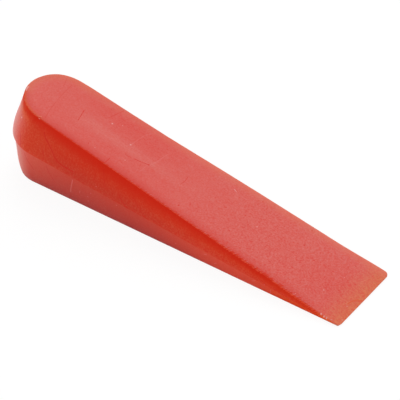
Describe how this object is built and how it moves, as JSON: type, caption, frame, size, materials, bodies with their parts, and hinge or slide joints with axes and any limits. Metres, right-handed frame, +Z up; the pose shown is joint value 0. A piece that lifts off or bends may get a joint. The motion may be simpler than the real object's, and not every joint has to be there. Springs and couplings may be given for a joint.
{
  "type": "tile wedge",
  "caption": "One-piece moulded wedge for setting the gap and level of wall tiles: a thick half-round end that tapers to a thin straight tip.",
  "frame": {"origin": "centre of the bounding box at ground level, where the lower face rests", "axes": "+X from the thick round end to the tip, +Y across the wedge, +Z up from the lower face"},
  "size_m": [0.0318, 0.007, 0.0073],
  "materials": {
    "red_plastic": "moulded translucent red plastic, fine matte texture on the sloping faces, smoother on the walls"
  },
  "bodies": {
    "root": {"wedge": "red_plastic"}
  },
  "joints": []
}
